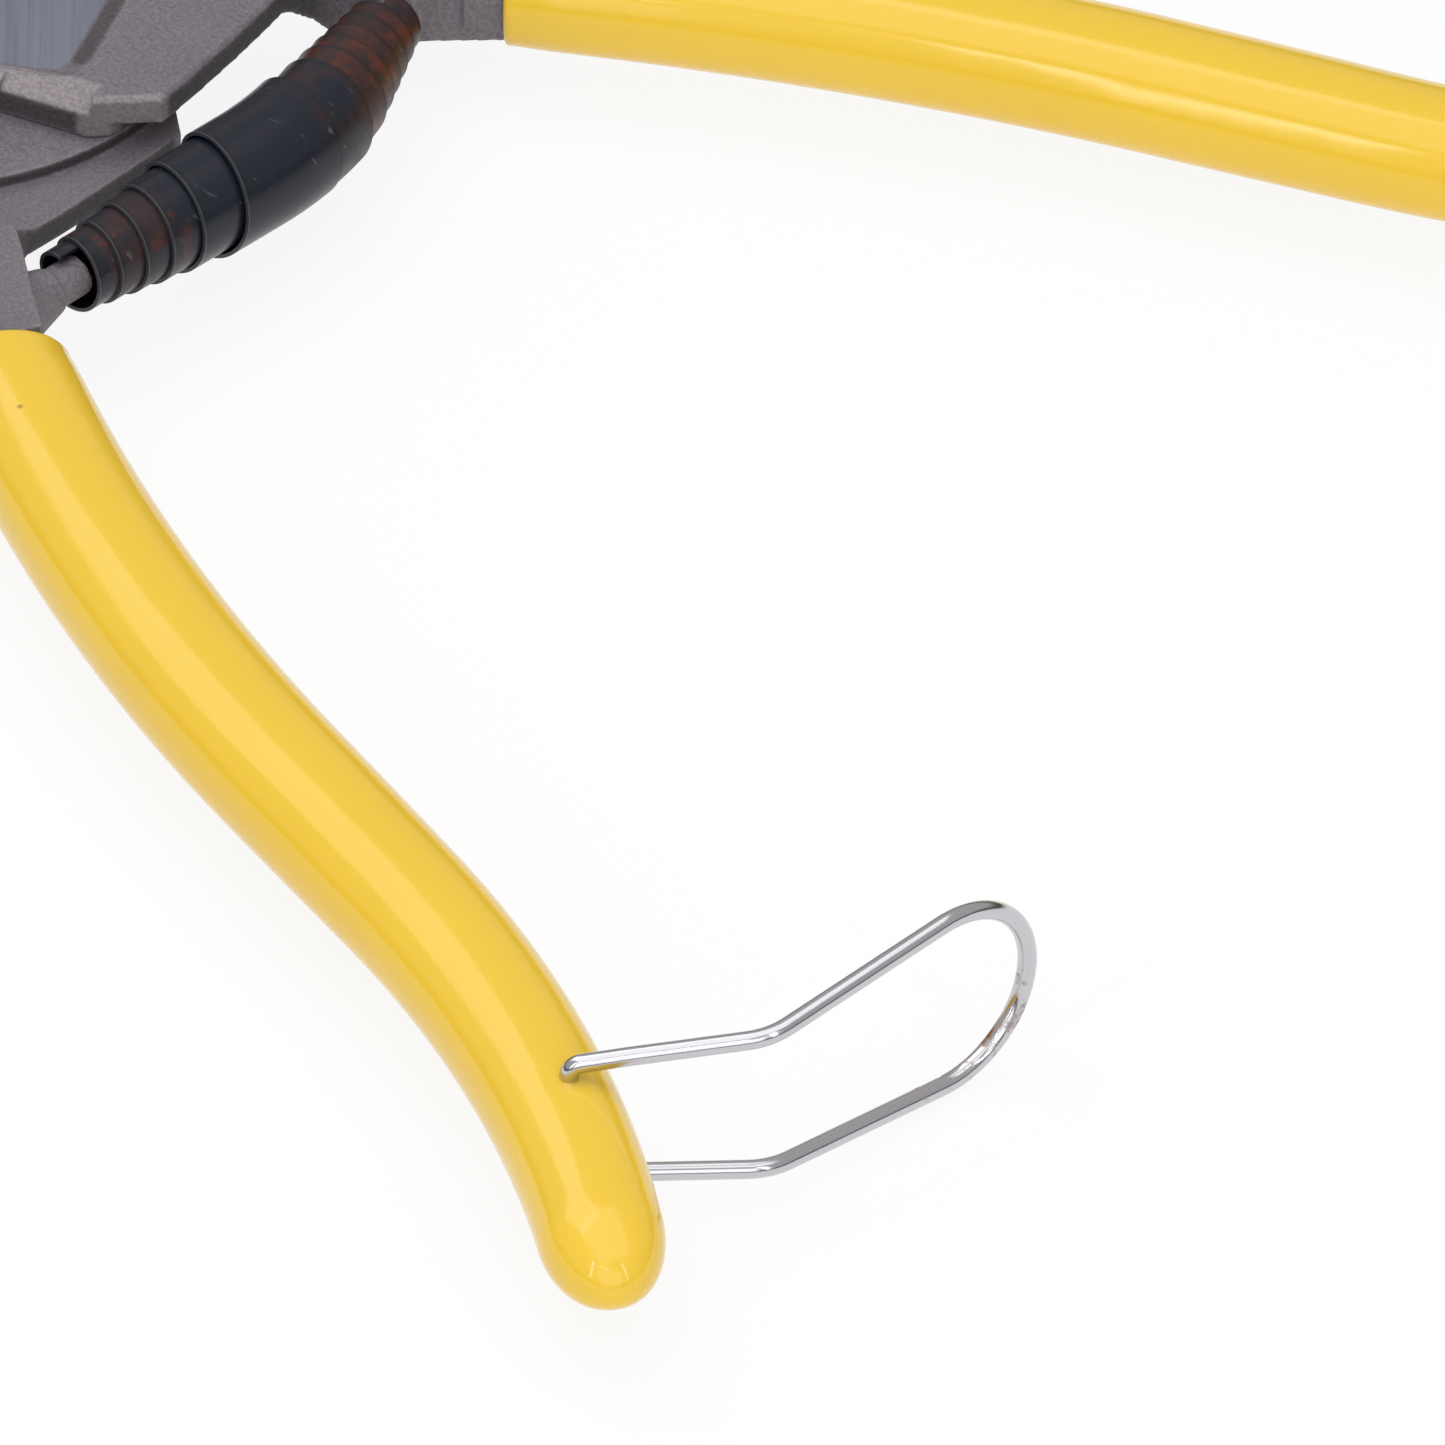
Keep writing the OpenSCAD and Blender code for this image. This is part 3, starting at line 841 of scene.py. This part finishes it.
def forgedShares(mesh, half):
    # where the metal is worn pale, plus the painted shade on walls and slope and the painted light on
    # the corner facet and the rim, for the material
    values = forgedValues
    count = len(mesh.vertices)
    points = readVectors(mesh.vertices, "co")
    normals = readVectors(mesh.vertex_normals, "vector")
    edges = np.empty(len(mesh.edges) * 2, int)
    mesh.edges.foreach_get("vertices", edges)
    a, b = edges.reshape(-1, 2).T
    degree = np.bincount(np.concatenate([a, b]), minlength=count).astype(float)

    def spread(field):
        total = np.bincount(a, field[b], count) + np.bincount(b, field[a], count)
        return total / degree

    centre = np.stack([spread(points[:, k]) for k in range(3)], 1)
    out = ((points - centre) * normals).sum(1) / values["voxel"]
    for _ in range(3):
        out = 0.5 * out + 0.5 * spread(out)
    x, y, z = shutPoints(points, half)
    outward = normals[:, 2] * (1 if half == "upper" else -1)
    onTop = np.clip((outward - 0.45) * 5, 0, 1) * (z < -1.0)
    rim = np.clip((values["rimReach"] - awayFromLine(x, y, values["rim"])) * 3, 0, 1)
    toCorner = awayFromLine(x, y, values["corner"])
    rim = np.maximum(rim, 0.8 * np.clip((values["cornerReach"] - toCorner) * 3, 0, 1))
    tilted = np.clip((0.985 - outward) * 30, 0, 1)
    slope = np.clip((values["slopeReach"] - awayFromLine(x, y, values["slope"])) * 3, 0, 1)
    upright = np.clip((0.62 - np.abs(normals[:, 2])) * 3, 0, 1)
    plate = np.clip((x - values["wallsFrom"]) / 3, 0, 1)
    corner = np.clip((values["cornerReach"] - toCorner) * 3, 0, 1)
    # walls and slope get painted shade, the corner facet painted light and the chamfered rim a painted
    # highlight, by how each face is turned to the lamps
    shares = {
        "edgeWear": np.clip(out * 8.0, 0, 1),
        "rimPaintedHighlight": rim * onTop * tilted,
        "slopePaintedShade": slope * onTop * tilted,
        "wallPaintedShade": upright * plate,
        "facetPaintedLight": upright * corner,
    }
    for _ in range(2):
        shares = {name: 0.5 * v + 0.5 * spread(v) for name, v in shares.items()}
    shares["flatShare"] = (outward > 0.985).astype(float)
    for name, value in shares.items():
        layer = mesh.attributes.new(name, "FLOAT", "POINT")
        layer.data.foreach_set("value", value.astype(np.float32))


def tuckIn(mesh, half):
    # where the forging runs on past the mouth of its grip, it is kept inside the vinyl
    values = gripValues
    points = readVectors(mesh.vertices, "co")
    x, y, z = shutPoints(points, half)
    (x0, y0, heading), _ = values["paths"][half]
    c, s = math.cos(math.radians(heading)), math.sin(math.radians(heading))
    far = (x - x0) * c + (y - y0) * s
    side = (y - y0) * c - (x - x0) * s
    wide = gripHalfWidth(values["from"])
    mouth = values["from"] + values["late"][half] + values["slant"][half] * side / wide
    high, wide = wide * values["ratio"] - values["cover"], wide - values["cover"]
    power = 2 / values["square"]
    reach = (np.abs(side) / wide) ** power + (np.abs(z) / high) ** power
    moved = np.nonzero((far > mouth + values["coverFrom"]) & (reach > 1))[0]
    draw = reach[moved] ** (-1 / power)
    far, side, z = far[moved], side[moved] * draw, z[moved] * draw
    points[moved] = placeHalf(zip(x0 + far * c - side * s, y0 + far * s + side * c, z), half)
    mesh.vertices.foreach_set("co", points.ravel())
    mesh.update()


def addForged(half, node, material):
    source = cadNodes[node].data.copy()
    shape = bmesh.new()
    shape.from_mesh(source)
    bmesh.ops.remove_doubles(shape, verts=shape.verts, dist=1e-7)
    x, y, heading = poseAt(gripValues["paths"][half], forgedValues["tangCut"])
    near, far = placeHalf([(x, y, 0), (x + math.cos(heading), y + math.sin(heading), 0)], half)
    cut = Vector((near[0], near[1], 0))
    way = (Vector((far[0], far[1], 0)) - cut).normalized()
    tang = shape.copy()
    for part, side in ((shape, True), (tang, False)):
        geometry = part.verts[:] + part.edges[:] + part.faces[:]
        bmesh.ops.bisect_plane(part, geom=geometry, dist=1e-8, plane_co=cut, plane_no=way,
                               clear_outer=side, clear_inner=not side)
        openEdges = [e for e in part.edges if len(e.link_faces) == 1]
        bmesh.ops.holes_fill(part, edges=openEdges, sides=0)
        bmesh.ops.triangulate(part, faces=part.faces[:])
    headMesh = bpy.data.meshes.new(node + "Head")
    shape.to_mesh(headMesh)
    shape.free()
    bpy.data.meshes.remove(source)
    head = newPiece(node + "Forged", headMesh, material)
    remesh = head.modifiers.new("remesh", "REMESH")
    remesh.mode = "VOXEL"
    remesh.voxel_size = forgedValues["voxel"]
    exact = newPiece(node + "Exact", headMesh.copy())
    wrap = head.modifiers.new("wrap", "SHRINKWRAP")
    wrap.wrap_method = "NEAREST_SURFACEPOINT"
    wrap.target = exact
    soften = head.modifiers.new("soften", "SMOOTH")
    soften.factor = 0.5
    soften.iterations = forgedValues["smoothing"]
    plainMesh(head)
    exactMesh = exact.data
    bpy.data.objects.remove(exact)
    bpy.data.meshes.remove(exactMesh)
    tuckIn(head.data, half)
    forgedShares(head.data, half)
    triangles = 2 * len(head.data.polygons)
    if triangles > forgedValues["mostTriangles"]:
        thin = head.modifiers.new("thin", "DECIMATE")
        thin.ratio = forgedValues["mostTriangles"] / triangles
        plainMesh(head)
    mesh = head.data
    tangMesh = bpy.data.meshes.new(node + "Tang")
    tang.to_mesh(tangMesh)
    tang.free()
    join = bmesh.new()
    join.from_mesh(mesh)
    join.from_mesh(tangMesh)
    join.to_mesh(mesh)
    join.free()
    bpy.data.meshes.remove(tangMesh)
    for face in mesh.polygons:
        face.use_smooth = True
        face.material_index = 0
    mesh.materials.clear()
    mesh.materials.append(material)
    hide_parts(node)
    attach(head, half)
    print("   ", node, triangles, "to", len(mesh.polygons), "faces")


addForged("lower", "lower_jaw_half", lowerForged)
addForged("upper", "upper_jaw_half", upperForged)
print("stage: forged halves")

# return spring, made by geometry nodes: one strip wound as a double cone
springValues = {
    # where each turn's edge lies along the axis, and which of them is the widest
    "edges": [0, 2.4, 5.0, 8.0, 10.9, 14.5, 19.7, 24.3, 27.3, 29.7, 31.9, 34.1, 36.3, 38.5],
    "wideTurn": 6,
    "stripWidth": 11.7,
    "stripThickness": 0.36,
    "endRadius": 3.1,
    "middleRadius": 5.9,
    "start": (-38.0, 24.2),
    "heading": -97.5,  # of the axis at the lower peg
    "run": 24.0,
    "bendLength": 14.0,
    "bend": 22.5,
    "perTurn": 56,
    "rows": 9,
}


def curveNode(tree, value, points):
    # a piecewise straight curve through points, each from 0 to 1
    node = addNode(tree, "ShaderNodeFloatCurve")
    curve = node.mapping.curves[0]
    while len(curve.points) < len(points):
        curve.points.new(0.5, 0.5)
    for point, (x, y) in zip(curve.points, points):
        point.location = (x, y)
        point.handle_type = "VECTOR"
    node.mapping.update()
    feed(tree, node.inputs["Value"], value)
    return node.outputs[0]


def springTree(values, material):
    tree = bpy.data.node_groups.new("voluteStrip", "GeometryNodeTree")
    tree.interface.new_socket("Geometry", in_out="OUTPUT", socket_type="NodeSocketGeometry")
    turns = len(values["edges"]) - 1
    reach = values["edges"][-1]
    sizes = {
        "Turns": turns,
        "Strip Width": values["stripWidth"] * mm,
        "Reach": reach * mm,
        "End Radius": values["endRadius"] * mm,
        "Middle Radius": values["middleRadius"] * mm,
        "Start X": values["start"][0] * mm,
        "Start Y": values["start"][1] * mm,
        "Middle Z": toolValues["lapZ"],
        "Heading": math.radians(values["heading"]),
        "Run": values["run"] * mm,
        "Bend Length": values["bendLength"] * mm,
        "Bend": math.radians(values["bend"]),
    }
    for label, value in sizes.items():
        socket = tree.interface.new_socket(label, in_out="INPUT", socket_type="NodeSocketFloat")
        socket.default_value = value
    given = addNode(tree, "NodeGroupInput").outputs
    out = addNode(tree, "NodeGroupOutput").inputs
    link = tree.links.new

    def m(operation, a, b=None, c=None):
        return mathNode(tree, operation, a, b, c)

    grid = addNode(tree, "GeometryNodeMeshGrid")
    grid.inputs["Vertices X"].default_value = turns * values["perTurn"] + 1
    grid.inputs["Vertices Y"].default_value = values["rows"]
    flat = splitAxes(tree, addNode(tree, "GeometryNodeInputPosition").outputs[0])
    along01 = m("ADD", flat["X"], 0.5)
    across01 = m("ADD", flat["Y"], 0.5)
    edges = values["edges"]
    edge01 = curveNode(tree, along01, [(k / turns, e / reach) for k, e in enumerate(edges)])
    wide = edges[values["wideTurn"]]
    size01 = [(k / turns, e / wide if k <= values["wideTurn"] else (reach - e) / (reach - wide))
              for k, e in enumerate(edges)]
    swell = curveNode(tree, along01, size01)
    grow = m("SUBTRACT", given["Middle Radius"], given["End Radius"])
    radius = m("MULTIPLY_ADD", swell, grow, given["End Radius"])
    far = m("MULTIPLY_ADD", across01, given["Strip Width"],
            m("MULTIPLY", edge01, given["Reach"]))
    # the axis runs straight, bends and runs straight again
    heading, run = given["Heading"], given["Run"]
    past = m("SUBTRACT", far, run)
    before = m("MINIMUM", far, run)
    inBend = m("MINIMUM", m("MAXIMUM", past, 0.0), given["Bend Length"])
    after = m("MAXIMUM", m("SUBTRACT", past, given["Bend Length"]), 0.0)
    share = m("DIVIDE", inBend, given["Bend Length"])
    turned = m("MULTIPLY_ADD", share, given["Bend"], heading)
    last = m("ADD", heading, given["Bend"])
    bendRadius = m("DIVIDE", given["Bend Length"], given["Bend"])
    arcX = m("SUBTRACT", m("SINE", turned), m("SINE", heading))
    arcY = m("SUBTRACT", m("COSINE", heading), m("COSINE", turned))
    axisX = m("ADD", m("MULTIPLY_ADD", before, m("COSINE", heading), given["Start X"]),
              m("MULTIPLY_ADD", bendRadius, arcX, m("MULTIPLY", after, m("COSINE", last))))
    axisY = m("ADD", m("MULTIPLY_ADD", before, m("SINE", heading), given["Start Y"]),
              m("MULTIPLY_ADD", bendRadius, arcY, m("MULTIPLY", after, m("SINE", last))))
    angle = m("MULTIPLY_ADD", m("MULTIPLY", along01, given["Turns"]), 2 * math.pi,
              math.pi / 2)
    outwards = m("MULTIPLY", radius, m("COSINE", angle))
    x = m("MULTIPLY_ADD", outwards, m("SINE", turned), axisX)
    y = m("SUBTRACT", axisY, m("MULTIPLY", outwards, m("COSINE", turned)))
    z = m("MULTIPLY_ADD", radius, m("SINE", angle), given["Middle Z"])
    join = addNode(tree, "ShaderNodeCombineXYZ")
    for socket, value in zip(join.inputs, (x, y, z)):
        link(value, socket)

    def store(geometry, label, value):
        node = addNode(tree, "GeometryNodeStoreNamedAttribute", data_type="FLOAT", domain="POINT")
        node.inputs["Name"].default_value = label
        link(geometry, node.inputs["Geometry"])
        link(value, node.inputs["Value"])
        return node.outputs["Geometry"]

    # both are stored before the grid is bent, while its own position is still flat
    stored = store(grid.outputs["Mesh"], "bandShare", edge01)
    stored = store(stored, "acrossShare", across01)
    setPlace = addNode(tree, "GeometryNodeSetPosition")
    link(stored, setPlace.inputs["Geometry"])
    link(join.outputs[0], setPlace.inputs["Position"])
    smooth = addNode(tree, "GeometryNodeSetShadeSmooth")
    link(setPlace.outputs[0], smooth.inputs[0])
    real = addNode(tree, "GeometryNodeRealizeInstances")
    link(smooth.outputs[0], real.inputs[0])
    paint = addNode(tree, "GeometryNodeSetMaterial")
    paint.inputs["Material"].default_value = material
    link(real.outputs[0], paint.inputs["Geometry"])
    link(paint.outputs[0], out[0])
    return tree


def addSpring(values, material):
    piece = newPiece("returnSpringStrip", bpy.data.meshes.new("returnSpringStrip"), material)
    wound = piece.modifiers.new("wound", "NODES")
    wound.node_group = springTree(values, material)
    plainMesh(piece)
    tidyMesh(piece.data)
    thick = piece.modifiers.new("thick", "SOLIDIFY")
    thick.thickness = values["stripThickness"] * mm
    thick.offset = 0.0
    plainMesh(piece)
    tidyMesh(piece.data, 1e-9)
    setCreases(piece.data, 40)
    shares = np.empty(len(piece.data.vertices), np.float32)
    piece.data.attributes["bandShare"].data.foreach_get("value", shares)
    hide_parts("return_spring")
    x, y = values["start"]
    path = ((x, y, values["heading"]), ((values["run"], 0), (values["bendLength"], values["bend"])))
    endX, endY, _ = poseAt(path, values["edges"][-1] + values["stripWidth"])
    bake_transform(piece)


addSpring(springValues, strip)
print("stage: return spring")

# wire catch
catchValues = {
    "wire": 1.8,
    "rootWidth": 13.0,
    "bendWidth": 15.7,
    "endWidth": 19.5,
    "legA": 18.5,
    "legB": 21.8,
    "headingA": 253.0,
    "headingB": 287.5,
    "elbow": 1.3,
    "kink": 2.2,
    "arcEarly": 1.0,  # where the round end starts, before the end of the leg
    "endsGap": 2.0,
    "sides": 24,
    "bendSteps": 12,
    "endSteps": 56,
    "rustFromEnd": (0.001, 0.004, -0.0085),  # metres, x and y from the round end, z from the lap
}


def catchStations(v):
    # each [x, y, z, pitch, heading] of the wire's middle line, drawn shut with the pin at 0, 0
    flareA = math.atan((v["bendWidth"] - v["rootWidth"]) / 2 / v["legA"])
    flareB = math.atan((v["endWidth"] - v["bendWidth"]) / 2 / v["legB"])
    headA, headB = math.radians(v["headingA"]), math.radians(v["headingB"])
    wayA = Vector((math.cos(headA), math.sin(headA), 0))
    wayB = Vector((math.cos(headB), math.sin(headB), 0))
    up = Vector((0, 0, 1))
    corner = wayA * v["legA"] + up * v["bendWidth"] / 2
    quarter = math.pi / 2
    leg = [(up * (v["endsGap"] / 2 + k * 0.8), quarter, headA) for k in range(5)]
    steps = v["bendSteps"]
    for k in range(steps + 1):
        pitch = quarter - (quarter - flareA) * k / steps
        leg.append((wayA * v["elbow"] * (1 - math.sin(pitch))
                    + up * (v["rootWidth"] / 2 - v["elbow"] * (1 - math.cos(pitch))),
                    pitch, headA))
    root = up * v["rootWidth"] / 2
    for share in (0.3, 0.6, 0.8):
        leg.append((root.lerp(corner, share), flareA, headA))
    # the bend is a smooth curve from one leg into the other
    before = corner - (wayA + up * math.tan(flareA)) * v["kink"]
    after = corner + (wayB + up * math.tan(flareB)) * v["kink"]
    for k in range(steps + 1):
        t = k / steps
        point = before.lerp(corner, t).lerp(corner.lerp(after, t), t)
        leg.append((point, flareA + (flareB - flareA) * t, headA + (headB - headA) * t))
    # the round end carries on smoothly from the flare of the legs
    reach = v["legB"] - v["arcEarly"]
    leg.append((corner + (wayB + up * math.tan(flareB)) * reach * 0.55, flareB, headB))
    radius = (v["bendWidth"] / 2 + reach * math.tan(flareB)) / math.cos(flareB)
    centre = wayA * v["legA"] + wayB * (reach + radius * math.sin(flareB))
    end = []
    for k in range(v["endSteps"] + 1):
        pitch = flareB - (math.pi + 2 * flareB) * k / v["endSteps"]
        end.append((centre - wayB * radius * math.sin(pitch) + up * radius * math.cos(pitch),
                    pitch, headB))
    back = [(Vector((p.x, p.y, -p.z)), -math.pi - pitch, h) for p, pitch, h in reversed(leg)]
    return leg + end + back


def addCatch(v):
    pinX, pinY = pinPlace()
    rings = []
    for point, pitch, turn in catchStations(v):
        ring = []
        for i in range(v["sides"]):
            angle = 2 * math.pi * i / v["sides"]
            a = v["wire"] / 2 * math.cos(angle)
            b = v["wire"] / 2 * math.sin(angle)
            ring.append((pinX + point.x - a * math.sin(turn) - b * math.sin(pitch) * math.cos(turn),
                         pinY + point.y + a * math.cos(turn) - b * math.sin(pitch) * math.sin(turn),
                         point.z + b * math.cos(pitch)))
        rings.append(placeHalf(ring, "lower"))
    mesh = loftMesh("catchWire", rings)
    setCreases(mesh, 50)
    end = rings[len(rings) // 2][0]
    rustX, rustY, rustZ = v["rustFromEnd"]
    rustPlace = (end[0] + rustX, end[1] + rustY, toolValues["lapZ"] + rustZ)
    piece = newPiece("catchWire", mesh, wireMaterial(rustPlace, wireFinish))
    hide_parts("wire_catch")
    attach(piece, "catch")


addCatch(catchValues)
print("stage: wire catch")

# pivot: bolt, washer and nut
pivotValues = {
    "boltRadius": 4.0,
    "headRadius": 7.0,
    "headHeight": 3.0,
    "washerRadius": 7.0,
    "washerThickness": 1.0,
    "flats": 12.0,
    "nutHeight": 5.0,
    "groundT": 3.7,
    "lapGap": 0.1,
    "threadPitch": 1.25,
    "threadDepth": 0.32,
    "threadFade": 0.4,
    "threadSteps": 90,
    "chamfer": 0.5,
    "endChamfer": 0.6,
    "pastNut": 1.0,
    "rim": 0.18,  # of the washer
    "washerPlay": 0.05,
    "nutPlay": 0.01,
    "nutSteps": 40,
    "cornerSlope": 1.9,  # how fast the nut's turned corners widen from its ends
    "centre": 0.02,  # radius left open at the middle of the bolt's two ends
    "sides": 96,
}


def latheMesh(name, profile, sides, radiusAt=None):
    # profile: (radius, height) in mm, round the Z axis; radiusAt bends the radius by angle
    rings = []
    for radius, height in profile:
        ring = []
        for i in range(sides):
            angle = 2 * math.pi * i / sides
            r = radiusAt(radius, height, angle) if radiusAt else radius
            ring.append((r * math.cos(angle) * mm, r * math.sin(angle) * mm, height * mm))
        rings.append(ring)
    mesh = loftMesh(name, rings, closeLoop=True)
    setCreases(mesh, 35)
    return mesh


def addPivot(v):
    washerZ = toolValues["lapZ"] / mm + v["groundT"] + v["lapGap"]
    nutZ = washerZ + v["washerThickness"]
    nutTop = nutZ + v["nutHeight"]
    top = nutTop + v["pastNut"]
    chamfer, centre, headTop = v["chamfer"], v["centre"], v["headHeight"]

    # bolt: domed rim on the head, plain shank, thread above the washer
    profile = [(centre, 0.0), (v["headRadius"] - chamfer, 0.0)]
    for k in range(5):
        turn = math.pi / 2 * (1 - k / 4)
        profile.append((v["headRadius"] - chamfer * (1 - math.cos(turn)),
                        chamfer * (1 - math.sin(turn))))
    profile += [(v["headRadius"], headTop - 0.3), (v["headRadius"] - 0.3, headTop),
                (v["boltRadius"], headTop)]
    threadFrom, threadTo = nutZ + 0.2, top - v["endChamfer"]
    for k in range(v["threadSteps"] + 1):
        share = k / v["threadSteps"]
        profile.append((v["boltRadius"], threadFrom + (threadTo - threadFrom) * share))
    profile += [(v["boltRadius"] - v["endChamfer"], top), (centre, top)]

    def threaded(radius, height, angle):
        if abs(radius - v["boltRadius"]) > 0.01 or height < nutZ + 0.1:
            return radius
        turn = height / v["threadPitch"] - angle / (2 * math.pi)
        wave = abs((turn % 1.0) - 0.5) * 2
        fade = smooth01((height - nutTop + v["endChamfer"]) / v["threadFade"])
        return radius - v["threadDepth"] * wave * fade

    boltMesh = latheMesh("pivotBolt", profile, v["sides"], threaded)
    bolt = newPiece("pivotBoltTurned", boltMesh, fastener)

    # washer with softened rims
    inner = v["boltRadius"] + v["washerPlay"]
    rim = v["rim"]
    low, high = washerZ, washerZ + v["washerThickness"]
    washerProfile = [(inner, low + rim), (inner + rim, low), (v["washerRadius"] - rim, low),
                     (v["washerRadius"], low + rim), (v["washerRadius"], high - rim),
                     (v["washerRadius"] - rim, high), (inner + rim, high), (inner, high - rim)]
    washer = newPiece("pivotWasherRing", latheMesh("pivotWasher", washerProfile, v["sides"]),
                      washerSteel)

    # nut: a hexagon whose corners are turned off at both ends
    corner = v["flats"] / 2 / math.cos(math.pi / 6)
    bore = v["boltRadius"] + v["nutPlay"]
    steps = v["nutSteps"]
    levels = [nutZ + v["nutHeight"] * k / steps for k in range(steps + 1)]
    nutProfile = [(bore, nutZ + chamfer), (bore + chamfer, nutZ)]
    nutProfile += [(corner, level) for level in levels]
    nutProfile += [(bore + chamfer, nutTop), (bore, nutTop - chamfer)]

    def hexagon(radius, height, angle):
        if radius < corner - 0.001:
            return radius
        sector = (angle + math.pi / 6) % (math.pi / 3) - math.pi / 6
        flat = v["flats"] / 2 / math.cos(sector)
        away = min(height - nutZ, nutTop - height)
        turned = v["flats"] / 2 - 0.05 + away * v["cornerSlope"]
        return min(flat, turned)

    nutMesh = latheMesh("pivotNut", nutProfile, v["sides"] * 2, hexagon)
    nut = newPiece("pivotNutHex", nutMesh, fastener)
    for piece, node, slot in ((bolt, "pivot_bolt", "bolt_steel"),
                              (washer, "pivot_washer", "washer_steel"),
                              (nut, "pivot_nut", "bolt_steel")):
        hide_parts(node)
        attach(piece, "lower")


addPivot(pivotValues)
print("stage: pivot")
